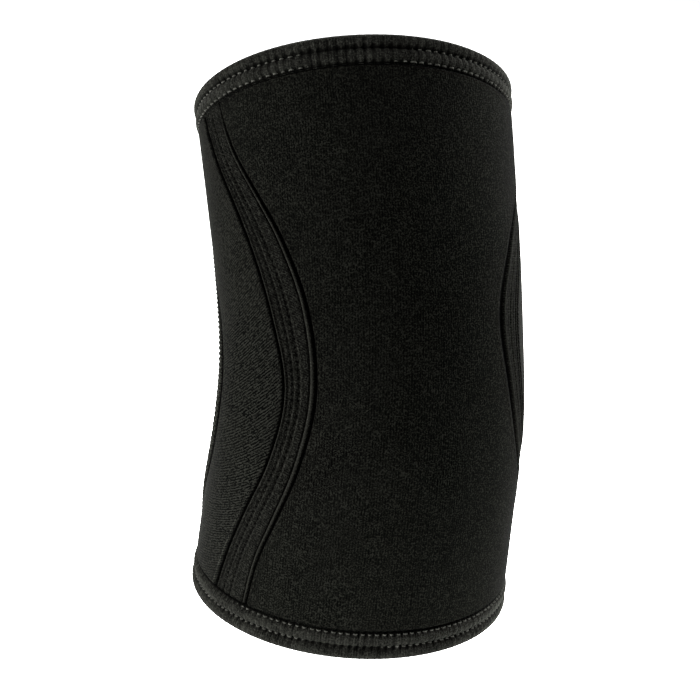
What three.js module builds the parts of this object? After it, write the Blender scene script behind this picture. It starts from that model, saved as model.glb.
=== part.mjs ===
// Elbow sleeve of laminated neoprene, standing on its lower hem.
// Millimetres, +Z up, the point of the elbow towards -Y and the crook towards +Y.
// A place on the sleeve is given by how far it lies along the centreline from the lower hem's
// edge, and by its angle round the oval section: 0 at the front, positive towards +X.
import * as THREE from 'three';

// Whole sleeve
const SLEEVE_LENGTH = 167;
const WALL = 5;
const DEPTH_RATIO = 0.9; // half-depth of the oval section over its half-width
const MEAN_RADIUS_RATIO = 0.95; // mean radius of the oval over its half-width
const GAP = 0.3; // clearance between sewn pieces

// Bend for the elbow: the lower end is upright and the upper end leans back
const BEND_DEGREES = 38;
const BEND_START = 35;
const BEND_END = 125;
const CENTRELINE_STEPS = 240;

// Half-width of the oval section along the sleeve
const GIRTH = [
  { along: 0, halfWidth: 51.7 },
  { along: 38, halfWidth: 50.3 },
  { along: 84, halfWidth: 48.2 },
  { along: 126, halfWidth: 49.9 },
  { along: 167, halfWidth: 52.0 },
];

// The bump over the bone on each side of the elbow
const BONE_HEIGHT = 1;
const BONE_ALONG = 65;
const BONE_ANGLE = 77;
const BONE_SPREAD_ALONG = 14;
const BONE_SPREAD_ANGLE = 14;

// Seams, as angles in degrees. Front seams edge the front panel, strip seams the outer side of
// the two strips, and crook seams the panel behind. The lower half is twisted to the right.
const LEFT_SEAMS = [
  { along: 0, crook: -120, strip: -75, front: -56.5 },
  { along: 11, crook: -116, strip: -72.8, front: -55.6 },
  { along: 26, crook: -106, strip: -68, front: -53 },
  { along: 41, crook: -96, strip: -61.5, front: -47.4 },
  { along: 56, crook: -89.5, strip: -53.8, front: -41 },
  { along: 73, crook: -87.5, strip: -49.3, front: -36.6 },
  { along: 91, crook: -94, strip: -55.5, front: -39.7 },
  { along: 108, crook: -103, strip: -63.3, front: -48.1 },
  { along: 124, crook: -109, strip: -71.3, front: -58 },
  { along: 141, crook: -114, strip: -80.4, front: -67.7 },
  { along: 157, crook: -118, strip: -86.2, front: -72.7 },
  { along: 167, crook: -119, strip: -88, front: -74 },
];
const RIGHT_SEAMS = [
  { along: 0, front: 92, strip: 106, crook: 137 },
  { along: 11, front: 89, strip: 103, crook: 134 },
  { along: 26, front: 81, strip: 95, crook: 125 },
  { along: 41, front: 69.5, strip: 83.5, crook: 112 },
  { along: 56, front: 57.5, strip: 71, crook: 101 },
  { along: 73, front: 46.5, strip: 60, crook: 94 },
  { along: 91, front: 38.8, strip: 54, crook: 91 },
  { along: 108, front: 47.5, strip: 61.5, crook: 94 },
  { along: 124, front: 59, strip: 72, crook: 101 },
  { along: 141, front: 68, strip: 80.6, crook: 109 },
  { along: 157, front: 72.7, strip: 86.2, crook: 115 },
  { along: 167, front: 74, strip: 88, crook: 117 },
];

// Hem: a folded binding of U section, with two puffy rolls parted by a stitch row
const HEM_BAND = 9.5;
const HEM_FOLD = 1.6; // thickness at the fold, beyond the panels' edges
const HEM_LEG = 1.2; // thickness of each leg of the U
const HEM_COLUMNS = 56;

// Outside of the hem, from the flat edge inwards: distance from the edge and rise above the wall
const HEM_ROLLS = [
  { inset: 0, rise: -1.2 },
  { inset: 0.9, rise: -0.05 },
  { inset: 2.6, rise: 0.5 },
  { inset: 4.7, rise: -0.1 },
  { inset: 6.9, rise: 0.45 },
  { inset: 8.7, rise: 0.05 },
  { inset: HEM_BAND, rise: -0.5 },
];
const HEM_INSIDE_ROUND = 1; // rounding of the hem's inner corners

// Edges of the panels across the sleeve: distance from the seam and drop below the wall
const ROLLED_EDGE = [
  { inset: 0, drop: 1 },
  { inset: 0.8, drop: 0.3 },
  { inset: 2.2, drop: 0 },
];
const CORDED_EDGE = [
  { inset: 0, drop: 0.8 },
  { inset: 0.5, drop: 0 },
  { inset: 1.2, drop: 0 },
  { inset: 1.8, drop: 0.6 },
];
const WELT_EDGE = [
  { inset: 0, drop: 0.7 },
  { inset: 0.5, drop: 0.15 },
  { inset: 1, drop: 0.2 },
  { inset: 1.5, drop: 0.5 },
];
const STRIP_DROP = 0.4; // the strips lie a little below the panels beside them

// Ends of the panels along the sleeve: a thin tongue in the hem's fold, then a rolled shoulder
const TONGUE_DROP = HEM_LEG + GAP;
const PANEL_END = [
  { inset: HEM_FOLD + GAP, drop: TONGUE_DROP, innerRise: TONGUE_DROP },
  { inset: HEM_BAND + GAP, drop: TONGUE_DROP, innerRise: TONGUE_DROP },
  { inset: HEM_BAND + GAP, drop: 0.9, innerRise: 0 },
  { inset: HEM_BAND + 1.1, drop: 0.3, innerRise: 0 },
  { inset: HEM_BAND + 2.8, drop: 0, innerRise: 0 },
];
const PANEL_SPANS = 17; // rows between the two shoulders

const LEFT_CROOK = { table: LEFT_SEAMS, seam: 'crook' };
const LEFT_STRIP = { table: LEFT_SEAMS, seam: 'strip' };
const LEFT_FRONT = { table: LEFT_SEAMS, seam: 'front' };
const RIGHT_FRONT = { table: RIGHT_SEAMS, seam: 'front' };
const RIGHT_STRIP = { table: RIGHT_SEAMS, seam: 'strip' };
const RIGHT_CROOK = { table: RIGHT_SEAMS, seam: 'crook' };

const PANELS = [
  {
    name: 'front_panel', finish: 'fleece', columns: 14, middleDrop: 0,
    from: LEFT_FRONT, fromEdge: ROLLED_EDGE, to: RIGHT_FRONT, toEdge: ROLLED_EDGE,
  },
  {
    name: 'seam_strip_left', finish: 'strip', columns: 2, middleDrop: STRIP_DROP,
    from: LEFT_STRIP, fromEdge: WELT_EDGE, to: LEFT_FRONT, toEdge: CORDED_EDGE,
  },
  {
    name: 'seam_strip_right', finish: 'strip', columns: 2, middleDrop: STRIP_DROP,
    from: RIGHT_FRONT, fromEdge: CORDED_EDGE, to: RIGHT_STRIP, toEdge: WELT_EDGE,
  },
  {
    name: 'side_panel_left', finish: 'rib', columns: 5, middleDrop: 0,
    from: LEFT_CROOK, fromEdge: ROLLED_EDGE, to: LEFT_STRIP, toEdge: ROLLED_EDGE,
  },
  {
    name: 'side_panel_right', finish: 'rib', columns: 5, middleDrop: 0,
    from: RIGHT_STRIP, fromEdge: ROLLED_EDGE, to: RIGHT_CROOK, toEdge: ROLLED_EDGE,
  },
  {
    name: 'crook_panel', finish: 'rib', columns: 14, middleDrop: 0,
    from: RIGHT_CROOK, fromEdge: ROLLED_EDGE, to: LEFT_CROOK, toEdge: ROLLED_EDGE,
  },
];

const FINISHES = {
  fleece: { color: 0x171714, roughness: 0.92, metalness: 0 },
  strip: { color: 0x181815, roughness: 0.85, metalness: 0 },
  rib: { color: 0x1e1e1b, roughness: 0.82, metalness: 0 },
  hem: { color: 0x1c1c19, roughness: 0.88, metalness: 0 },
};

// Value of one column of a table at a place along the sleeve, on a smooth curve through its rows
function tableValue(table, column, along) {
  const last = table.length - 1;
  const widthOf = (i) => table[i + 1].along - table[i].along;
  const slopeOf = (i) => (table[i + 1][column] - table[i][column]) / widthOf(i);
  const tangentAt = (i) => {
    if (i === 0) return slopeOf(0);
    if (i === last) return slopeOf(last - 1);
    const before = widthOf(i - 1);
    const after = widthOf(i);
    return (slopeOf(i - 1) * after + slopeOf(i) * before) / (before + after);
  };
  let i = 0;
  while (i < last - 1 && along > table[i + 1].along) i += 1;
  const t = (along - table[i].along) / widthOf(i);
  const rest = 1 - t;
  const values = table[i][column] * (1 + 2 * t) * rest * rest + table[i + 1][column] * t * t * (3 - 2 * t);
  const bends = tangentAt(i) * t * rest * rest - tangentAt(i + 1) * t * t * rest;
  return values + bends * widthOf(i);
}

// Lean of the centreline from upright, in radians
function leanAt(along) {
  const share = THREE.MathUtils.smoothstep(along, BEND_START, BEND_END);
  return THREE.MathUtils.degToRad(BEND_DEGREES) * share;
}

// The oval section at a place along the sleeve: its centre, its lean and its half-width
function sectionAt(along) {
  const step = along / CENTRELINE_STEPS;
  let y = 0;
  let z = 0;
  for (let i = 0; i < CENTRELINE_STEPS; i += 1) {
    const lean = leanAt((i + 0.5) * step);
    y += Math.sin(lean) * step;
    z += Math.cos(lean) * step;
  }
  return { along, y, z, lean: leanAt(along), halfWidth: tableValue(GIRTH, 'halfWidth', along) };
}

// How far the wall stands out over the bones beside the elbow
function boneRise(along, angle) {
  const wrapped = Math.atan2(Math.sin(angle), Math.cos(angle));
  const fromBone = (Math.abs(THREE.MathUtils.radToDeg(wrapped)) - BONE_ANGLE) / BONE_SPREAD_ANGLE;
  const upOrDown = (along - BONE_ALONG) / BONE_SPREAD_ALONG;
  return BONE_HEIGHT * Math.exp(-(fromBone * fromBone + upOrDown * upOrDown) / 2);
}

// A point on the wall, raised above its outer face by rise (negative is into the wall)
function wallPoint(section, angle, rise) {
  const out = rise + boneRise(section.along, angle);
  const across = (section.halfWidth + out) * Math.sin(angle);
  const back = -(section.halfWidth * DEPTH_RATIO + out) * Math.cos(angle);
  const y = section.y + back * Math.cos(section.lean);
  const z = section.z - back * Math.sin(section.lean);
  return new THREE.Vector3(across, y, z);
}

function solidFrom(points, triangles) {
  const geometry = new THREE.BufferGeometry().setFromPoints(points);
  geometry.setIndex(triangles);
  geometry.computeVertexNormals();
  return geometry;
}

function pushQuad(triangles, a, b, c, d) {
  triangles.push(a, b, c, a, c, d);
}

// Rows of a panel from the lower tongue to the upper one
function panelRows() {
  const shoulder = PANEL_END[PANEL_END.length - 1].inset;
  const lower = PANEL_END.map((end) => ({ ...end, along: end.inset }));
  const upper = PANEL_END.map((end) => ({ ...end, along: SLEEVE_LENGTH - end.inset })).reverse();
  const between = [];
  for (let i = 1; i < PANEL_SPANS; i += 1) {
    const along = shoulder + ((SLEEVE_LENGTH - 2 * shoulder) * i) / PANEL_SPANS;
    between.push({ along, drop: 0, innerRise: 0 });
  }
  return [...lower, ...between, ...upper];
}

// Columns of a panel at one row: the edge profiles first and last, even columns between them
function panelColumns(panel, section) {
  const perMillimetre = 1 / (section.halfWidth * MEAN_RADIUS_RATIO);
  const seamAngle = ({ table, seam }) => THREE.MathUtils.degToRad(tableValue(table, seam, section.along));
  const from = seamAngle(panel.from) + (GAP / 2) * perMillimetre;
  let to = seamAngle(panel.to) - (GAP / 2) * perMillimetre;
  if (to < from) to += 2 * Math.PI;
  const first = panel.fromEdge.map((e) => ({ angle: from + e.inset * perMillimetre, drop: e.drop }));
  const last = panel.toEdge.map((e) => ({ angle: to - e.inset * perMillimetre, drop: e.drop })).reverse();
  const start = first[first.length - 1].angle;
  const width = last[0].angle - start;
  const middle = [];
  for (let i = 1; i < panel.columns; i += 1) {
    middle.push({ angle: start + (width * i) / panel.columns, drop: panel.middleDrop });
  }
  return [...first, ...middle, ...last];
}

// A panel: an outer and an inner skin on the same grid, joined round its rim
function panelGeometry(panel) {
  const rows = panelRows();
  const outer = [];
  const inner = [];
  let width = 0;
  for (const row of rows) {
    const section = sectionAt(row.along);
    const columns = panelColumns(panel, section);
    width = columns.length;
    for (const column of columns) {
      outer.push(wallPoint(section, column.angle, -Math.max(row.drop, column.drop)));
      inner.push(wallPoint(section, column.angle, row.innerRise - WALL));
    }
  }
  const top = rows.length - 1;
  const end = width - 1;
  const out = (r, c) => r * width + c;
  const inn = (r, c) => outer.length + r * width + c;
  const triangles = [];
  for (let r = 0; r < top; r += 1) {
    for (let c = 0; c < end; c += 1) {
      pushQuad(triangles, out(r, c), out(r, c + 1), out(r + 1, c + 1), out(r + 1, c));
      pushQuad(triangles, inn(r, c), inn(r + 1, c), inn(r + 1, c + 1), inn(r, c + 1));
    }
    pushQuad(triangles, inn(r, 0), out(r, 0), out(r + 1, 0), inn(r + 1, 0));
    pushQuad(triangles, out(r, end), inn(r, end), inn(r + 1, end), out(r + 1, end));
  }
  for (let c = 0; c < end; c += 1) {
    pushQuad(triangles, inn(0, c), inn(0, c + 1), out(0, c + 1), out(0, c));
    pushQuad(triangles, out(top, c), out(top, c + 1), inn(top, c + 1), inn(top, c));
  }
  return solidFrom([...outer, ...inner], triangles);
}

// Outline of the hem's U section, from its flat edge up the outside and back down the inside
function hemProfile() {
  const slotOuter = -HEM_LEG;
  const slotInner = HEM_LEG - WALL;
  return [
    ...HEM_ROLLS,
    { inset: HEM_BAND, rise: slotOuter },
    { inset: HEM_FOLD, rise: slotOuter },
    { inset: HEM_FOLD, rise: slotInner },
    { inset: HEM_BAND, rise: slotInner },
    { inset: HEM_BAND, rise: HEM_INSIDE_ROUND / 2 - WALL },
    { inset: HEM_BAND - HEM_INSIDE_ROUND, rise: -WALL },
    { inset: HEM_INSIDE_ROUND, rise: -WALL },
    { inset: 0, rise: HEM_INSIDE_ROUND - WALL },
  ];
}

// A hem: its section carried once round the sleeve
function hemGeometry(isUpper) {
  const profile = hemProfile();
  if (isUpper) profile.reverse();
  const points = [];
  for (const place of profile) {
    const section = sectionAt(isUpper ? SLEEVE_LENGTH - place.inset : place.inset);
    for (let c = 0; c < HEM_COLUMNS; c += 1) {
      points.push(wallPoint(section, (2 * Math.PI * c) / HEM_COLUMNS, place.rise));
    }
  }
  const at = (p, c) => (p % profile.length) * HEM_COLUMNS + (c % HEM_COLUMNS);
  const triangles = [];
  for (let p = 0; p < profile.length; p += 1) {
    for (let c = 0; c < HEM_COLUMNS; c += 1) {
      pushQuad(triangles, at(p, c), at(p, c + 1), at(p + 1, c + 1), at(p + 1, c));
    }
  }
  return solidFrom(points, triangles);
}

function namedMesh(name, geometry, finish) {
  const mesh = new THREE.Mesh(geometry, new THREE.MeshStandardMaterial(FINISHES[finish]));
  mesh.name = name;
  return mesh;
}

const body = new THREE.Group();
for (const panel of PANELS) {
  body.add(namedMesh(panel.name, panelGeometry(panel), panel.finish));
}
body.add(namedMesh('lower_hem', hemGeometry(false), 'hem'));
body.add(namedMesh('upper_hem', hemGeometry(true), 'hem'));

// The origin is on the floor, under the middle of the sleeve's box
const box = new THREE.Box3().setFromObject(body);
const middle = box.getCenter(new THREE.Vector3());
body.position.set(-middle.x, -middle.y, -box.min.z);

const elbowSleeve = new THREE.Group();
elbowSleeve.add(body);

export default elbowSleeve;
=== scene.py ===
"""Elbow sleeve of laminated neoprene: sewn panels, seam strips and stitched hems, standing on one hem."""
import math

import bpy
import numpy as np
from mathutils import Matrix, Vector


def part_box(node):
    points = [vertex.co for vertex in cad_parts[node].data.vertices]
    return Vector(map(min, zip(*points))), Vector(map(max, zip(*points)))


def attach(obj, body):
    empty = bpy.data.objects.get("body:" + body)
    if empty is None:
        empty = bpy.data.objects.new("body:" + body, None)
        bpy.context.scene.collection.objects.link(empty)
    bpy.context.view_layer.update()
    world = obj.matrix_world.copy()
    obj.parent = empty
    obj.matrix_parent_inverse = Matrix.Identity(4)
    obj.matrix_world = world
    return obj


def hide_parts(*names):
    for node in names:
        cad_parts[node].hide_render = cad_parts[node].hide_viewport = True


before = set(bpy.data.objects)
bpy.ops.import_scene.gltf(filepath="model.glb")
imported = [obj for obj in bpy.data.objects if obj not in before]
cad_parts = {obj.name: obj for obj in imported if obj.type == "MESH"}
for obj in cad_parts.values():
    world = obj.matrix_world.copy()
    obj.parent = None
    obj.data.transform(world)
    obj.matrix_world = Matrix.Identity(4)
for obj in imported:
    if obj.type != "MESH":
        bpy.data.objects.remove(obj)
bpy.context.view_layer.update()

MM = 0.001

# Sleeve, in millimetres. A place on it is how far it lies along the centreline from the lower edge,
# and its angle round the oval section: 0 at the front, positive towards +X.
SLEEVE_LENGTH = 167.0
WALL = 5.0
DEPTH_RATIO = 0.9
MEAN_RADIUS_RATIO = 0.95
GAP = 0.3
LINING_LAP = 0.1
BEND = math.radians(38)
BEND_START = 35.0
BEND_END = 125.0
CENTRELINE_PLACES = 1661
GIRTH_COLUMNS = ("along", "half_width")
GIRTH_TABLE = ((0, 51.7), (38, 50.3), (84, 48.2), (126, 49.9), (167, 52.0))

# Bones beside the elbow, which push the wall out
BONE_HEIGHT = 1.0
BONE_ALONG = 65.0
BONE_ANGLE = math.radians(77)
BONE_SPREAD_ALONG = 14.0
BONE_SPREAD_ANGLE = math.radians(14)

# Knit rows of the side panels fall towards the back. The nap is brushed backwards along one direction,
# so that its specks are longer that way.
SIDE_ROW_SLOPE = math.tan(math.radians(35))
SIDE_ROW_TURN = math.radians(20)
BRUSHED_TURN = math.radians(20)
BRUSHED_DRAW = 0.26

# Seams, as angles in degrees: front seams edge the front panel, strip seams the outer side of the
# strips, and crook seams the panel behind.
SEAM_COLUMNS = (
    "along", "left_crook", "left_strip", "left_front", "right_front", "right_strip", "right_crook",
)
SEAM_TABLE = (
    (0, -120, -75, -56.5, 92, 106, 137),
    (11, -116, -72.8, -55.6, 89, 103, 134),
    (26, -106, -68, -53, 81, 95, 125),
    (41, -96, -61.5, -47.4, 69.5, 83.5, 112),
    (56, -89.5, -53.8, -41, 57.5, 71, 101),
    (73, -87.5, -49.3, -36.6, 46.5, 60, 94),
    (91, -94, -55.5, -39.7, 38.8, 54, 91),
    (108, -103, -63.3, -48.1, 47.5, 61.5, 94),
    (124, -109, -71.3, -58, 59, 72, 101),
    (141, -114, -80.4, -67.7, 68, 80.6, 109),
    (157, -118, -86.2, -72.7, 72.7, 86.2, 115),
    (167, -119, -88, -74, 74, 88, 117),
)

# Cloth is slack along the front seams round the point of the elbow, and rolls in more tightly along
# the strips' outer seams round the waist of the front panel
ELBOW_ALONG = 78.0
SLACK_SPREAD = 42.0
WAIST_ALONG = 75.0
WAIST_SPREAD = 40.0

# Front panel: its rolled edges, what slack cloth adds to them, and a low crest beside them
FRONT_EDGE = 0.55
FRONT_EDGE_SLACK_LEFT = 0.3
FRONT_EDGE_SLACK_RIGHT = 1.6
FRONT_EDGE_DEPTH = 1.2
FRONT_EDGE_DEPTH_SLACK = 0.3
FRONT_CREST = 0.1
FRONT_CREST_INSET = 0.4
FRONT_CREST_WIDTH = 0.5

# Seam strips lie a little below the panels. Their stitch rows are shares of the width from the side seam,
# each in a channel with a low ridge beside it.
STRIP_DROP = 0.42
STRIP_ROWS = (0.27, 0.48)
STRIP_STITCH = 1.7
CHANNEL_DEPTH = 0.55
CHANNEL_WIDTH = 0.42
CHANNEL_DOTS = 0.25
RIDGE_RISE = 0.22
RIDGE_INSET = 0.95

# Cord along the front edge of a strip, with a groove beside it; it runs out below the upper hem
LEFT_CORD_START = 0.3
RIGHT_CORD_START = 1.4
CORD_RADIUS = 0.42
CORD_RADIUS_SLACK = 0.3
CORD_BASE = 1.1
CORD_RISE = 1.2
CORD_BEADS = 0.015
CORD_END = 158.0
CORD_FADE = 18.0
CORDLESS_EDGE = 0.9
CORDLESS_EDGE_DEPTH = 1.0
GROOVE_DEPTH = 0.9
GROOVE_DEPTH_SLACK = 0.4
GROOVE_SLACK_SPREAD = 30.0
GROOVE_INSET = 0.15
GROOVE_WIDTH = 0.3

# Welt along the outer edge of a strip: a rolled edge, a crest and a shallow groove
WELT_EDGE = 0.85
WELT_EDGE_WAIST = 0.55
WELT_DEPTH = 1.0
WELT_CREST = 0.15
WELT_CREST_WAIST = 0.25
WELT_CREST_INSET = 0.15
WELT_CREST_WIDTH = 0.34
WELT_GROOVE = 0.3
WELT_GROOVE_INSET = 0.8
WELT_GROOVE_WIDTH = 0.28

# Side panels: rolled edges, and a crest beside the strip that rises below the waist
SIDE_DEPTH = 1.1
SIDE_CREST = 0.05
SIDE_CREST_BELOW = 0.3
SIDE_CREST_INSET = 0.2
SIDE_CREST_WIDTH = 0.42
SIDE_CROOK_EDGE = 1.6
SIDE_CROOK_DEPTH = 1.6

# Crook seams: a ditch, then the band that cover stitches draw up, which reaches over the crook panel
CROOK_STITCH = 1.75
CROOK_DITCH = 1.1
CROOK_DITCH_DEPTH = 1.6
CROOK_BAND = 5.6
CROOK_BAND_RISE = 0.3
CROOK_BAND_NEAR_SLOPE = 0.5
CROOK_BAND_FAR_SLOPE = 1.2
CROOK_KNOTS = 0.3

# Hem: a folded binding with two puffy rolls, stitched between them and along its inner edge
HEM_BAND = 9.5
HEM_FOLD = 1.6
HEM_LEG = 1.2
HEM_RADIUS = 49.0
HEM_ROLL_COLUMNS = ("inset", "rise")
HEM_ROLL_TABLE = (
    (0, -1.2), (0.9, -0.05), (2.6, 0.55), (4.7, -0.1), (6.9, 0.5), (8.8, 0.1), (9.2, -0.1), (9.5, -0.8),
)
HEM_ROLL_CRESTS = (2.6, 6.9)
HEM_ROLL_RISE = 0.5
MIDDLE_ROW = 4.7
INNER_ROW = 8.95
HEM_ROWS = (MIDDLE_ROW, INNER_ROW)
HEM_ROW_DEPTH = 0.5
HEM_ROW_WIDTH = 0.5
# The ditch share is how much painted shade lies in the ditch between a hem's rolls, more on the upper hem
HEM_COLUMNS = ("node", "is_upper", "stitches", "crown", "gather", "ditch_shade", "stitch_rise", "seed")
HEM_TABLE = (
    ("lower_hem", False, 142, 0, 0.7, 0.2, 0.05, 5),
    ("upper_hem", True, 118, 1, 0.85, 0.6, 0.1, 11),
)

# Grid of a hem: steps round it, close rows at the rounding beside its fold, even rows outside and inside,
# and the row on which its girth is measured
HEM_STEPS_PER_STITCH = 10
HEM_ROUNDING = 1.2
HEM_ROUNDING_ROWS = 6
HEM_ROUNDING_CROWDING = 1.3
HEM_OUTSIDE_ROWS = 27
HEM_INSIDE_ROWS = 14
HEM_GIRTH_ROW = 10

# Inside of a hem: how far its rows stay from both edges, its bulge and puckers, and the way over the fold
HEM_INSIDE_TOP = 0.6
HEM_INSIDE_BOTTOM = 1.0
HEM_INSIDE_BULGE = 0.15
HEM_INSIDE_PUCKER = 0.5
HEM_FOLD_RISE = 1.0
HEM_FOLD_SHARES = (0, 0.25, 0.5, 0.75)

# Gathers between a hem's needle holes: uneven, strongest left of the front and along the stitch rows
GATHER_FRONT = -18.0
GATHER_SPREAD = 45.0
GATHER_EVERYWHERE = 0.35
GATHER_AT_FRONT = 1.2
GATHER_LEAST = 0.6
GATHER_UNEVEN = 0.8
PUCKER_SHARPNESS = 1.2
PUCKER_RISE = 0.26
PUCKER_RISE_AT_ROWS = 0.16
PUCKER_ROW_WIDTH = 1.0
PUCKER_LEVEL = 0.6
PUCKER_AT_FOLD = 0.25
PUCKER_FOLD_REACH = 1.6

# Painted shade and highlight of a hem follow its gathers, with painted shade in the pressed rows, in the
# ditch between its rolls and along its inner edge
HEM_GATHER_SHADING = 1.1
HEM_ROW_SHADING = 0.4
HEM_INNER_EDGE = 0.2
HEM_INNER_EDGE_WIDTH = 0.25

# Where a hem's stitches are drawn into the cloth, in degrees round the sleeve
DRAWN_IN = 0.7
DRAWN_IN_TAPER = 12.0
DRAWN_IN_COLUMNS = ("node", "row", "start", "end")
DRAWN_IN_TABLE = (
    ("upper_hem", MIDDLE_ROW, -42, 10),
    ("upper_hem", INNER_ROW, -40, 4),
    ("lower_hem", MIDDLE_ROW, -38, 0),
    ("lower_hem", INNER_ROW, -180, -53),
)

# Ends of the panels at the hems: a rolled end, a rounded corner, and a thin tongue inside the hem
TONGUE_DROP = HEM_LEG + GAP
HEM_END_EDGE = 0.9
HEM_END_DEPTH = 1.5
CORNER = 1.6
CORNER_EDGE = 0.8
CORNER_DEPTH = 1.3
LINING_EDGE = 1.0
LINING_DEPTH = 0.5

# Grids of the panels: steps along and across, and the close columns beside a seam
PLAIN_STEPS = (0.8, 1.0)
FINE_STEPS = (0.45, 0.16)
SHOULDER = 2.0
SHOULDER_ROWS = 9
SHOULDER_CROWDING = 1.6
CLOSE_COLUMNS = (0, 0.05, 0.12, 0.22, 0.34, 0.48, 0.64, 0.82, 1.02, 1.24, 1.5, 1.8, 2.15, 2.55)

# Threads: arched stitches, thinner at both ends, where they dip into their needle holes
THREAD_SIDES = 6
THREAD_RINGS = 6
THREAD_RADIUS = 0.22
THREAD_ARCH_FLATNESS = 2.5
THREAD_DIP = 0.5
THREAD_DIP_SHARPNESS = 6
THREAD_THINNING = 0.3

# Where the threads lie. A hem's stitch starts and ends at shares of the stitch, the others in millimetres.
HEM_THREAD_CREST = 0.3
HEM_STITCH_START = 0.15
HEM_STITCH_END = 0.68
HEM_STITCH_UNEVEN = 0.2
HEM_INSIDE_THREAD_RISE = 0.1
STRIP_THREAD_RADIUS = 0.17
STRIP_THREAD_CREST = 0.1
STRIP_THREAD_RISE = -0.85
STRIP_THREAD_MARGIN = 2.5
STRIP_STITCH_START = 0.15
STRIP_STITCH_END = 0.3
CROOK_THREAD_CREST = 0.2
CROOK_THREAD_RISE = 0.25
CROOK_THREAD_LEAN = 0.35
CROOK_THREAD_MARGIN = 3.0
CROOK_THREAD_START = 1.3
CROOK_THREAD_END = 0.5


def foot_middle():
    """The middle of the lower hem's ring, where the centreline meets the floor."""
    low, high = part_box("lower_hem")
    return np.array([(low[0] + high[0]) / 2, (low[1] + high[1]) / 2, 0.0])


FOOT = foot_middle()


def smooth_curve(places, values):
    """A smooth curve through the values, as a function of the place."""
    places = np.asarray(places, float)
    values = np.asarray(values, float)
    tangents = np.gradient(values, places)

    def value_at(place):
        i = np.clip(np.searchsorted(places, place) - 1, 0, len(places) - 2)
        width = places[i + 1] - places[i]
        t = (place - places[i]) / width
        rest = 1 - t
        ends = values[i] * (1 + 2 * t) * rest**2 + values[i + 1] * t**2 * (3 - 2 * t)
        bends = tangents[i] * t * rest**2 - tangents[i + 1] * t**2 * rest
        return ends + bends * width

    return value_at


def table_curves(columns, table):
    """A smooth curve for each column of a table, by its name, along the first column."""
    rows = np.array(table, float)
    return {name: smooth_curve(rows[:, 0], rows[:, i]) for i, name in enumerate(columns)}


half_width_at = table_curves(GIRTH_COLUMNS, GIRTH_TABLE)["half_width"]
seam_degrees_at = table_curves(SEAM_COLUMNS, SEAM_TABLE)
hem_roll_at = table_curves(HEM_ROLL_COLUMNS, HEM_ROLL_TABLE)["rise"]


def lean_at(along):
    """Lean of the centreline from upright."""
    share = np.clip((along - BEND_START) / (BEND_END - BEND_START), 0, 1)
    return BEND * share**2 * (3 - 2 * share)


def centreline():
    """Fine places along the centreline, and how far back and up it has run there."""
    along = np.linspace(0, SLEEVE_LENGTH, CENTRELINE_PLACES)
    middles = (along[1:] + along[:-1]) / 2
    steps = np.diff(along)
    back = np.concatenate([[0], np.cumsum(np.sin(lean_at(middles)) * steps)])
    up = np.concatenate([[0], np.cumsum(np.cos(lean_at(middles)) * steps)])
    return along, back, up


LINE_ALONG, LINE_BACK, LINE_UP = centreline()


def bone_rise(along, angle):
    """How far the wall stands out over the bones beside the elbow."""
    wrapped = np.abs(np.arctan2(np.sin(angle), np.cos(angle)))
    across = (wrapped - BONE_ANGLE) / BONE_SPREAD_ANGLE
    lengthwise = (along - BONE_ALONG) / BONE_SPREAD_ALONG
    return BONE_HEIGHT * np.exp(-(across**2 + lengthwise**2) / 2)


def wall_points(along, angle, rise):
    """Points on the wall in metres, raised above its outer face by rise."""
    along, angle, rise = np.broadcast_arrays(along, angle, rise)
    half_width = half_width_at(along)
    lean = lean_at(along)
    out = rise + bone_rise(along, angle)
    across = (half_width + out) * np.sin(angle)
    back = -(half_width * DEPTH_RATIO + out) * np.cos(angle)
    y = np.interp(along, LINE_ALONG, LINE_BACK) + back * np.cos(lean)
    z = np.interp(along, LINE_ALONG, LINE_UP) - back * np.sin(lean)
    return np.stack([across, y, z], axis=-1) * MM + FOOT


def cloth_places(along, angle, relief, slanted):
    """Millimetres round the sleeve, across the knit's rows, and above the piece's own level; the last is the
    relief that the materials paint as highlight and shade.
    """
    along, angle = np.broadcast_arrays(along, angle)
    half_width = half_width_at(along)
    round_it = angle * half_width * MEAN_RADIUS_RATIO
    if slanted:
        flat_width = half_width * np.sin(np.abs(angle) - SIDE_ROW_TURN)
        across_rows = along + SIDE_ROW_SLOPE * flat_width
    else:
        across_rows = along + half_width * DEPTH_RATIO * np.cos(angle) * lean_at(along)
    return np.stack([round_it, across_rows, relief], axis=-1)


def rolled(distance, width, depth):
    """Drop of a soft edge that rolls down to its seam."""
    share = np.clip(1 - distance / width, 0, 1)
    return depth * (1 - np.sqrt(1 - share**2))


def bump_line(distance, width):
    """A soft line, 1 at its middle."""
    return np.exp(-((distance / width) ** 2))


# Cross sections of the panels: drop below the wall's outer face, from the distances to both seams


def slack_at(along):
    """How slack the cloth lies along the front seams."""
    return bump_line(along - ELBOW_ALONG, SLACK_SPREAD)


def waist_at(along):
    """How near a place lies to the waist of the front panel."""
    return bump_line(along - WAIST_ALONG, WAIST_SPREAD)


def welt_width(along):
    """Width of the rolled edges on both sides of a strip's outer seam."""
    return WELT_EDGE - WELT_EDGE_WAIST * waist_at(along)


def front_drop(left, right, along):
    """Rolled edges along both seams, with a low crest beside each."""
    slack = slack_at(along)
    edge = np.minimum(left, right)
    edge_width = FRONT_EDGE + np.where(left < right, FRONT_EDGE_SLACK_LEFT, FRONT_EDGE_SLACK_RIGHT) * slack
    crest = FRONT_CREST * bump_line(edge - edge_width - FRONT_CREST_INSET, FRONT_CREST_WIDTH)
    return rolled(edge, edge_width, FRONT_EDGE_DEPTH + FRONT_EDGE_DEPTH_SLACK * slack) - crest


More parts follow.
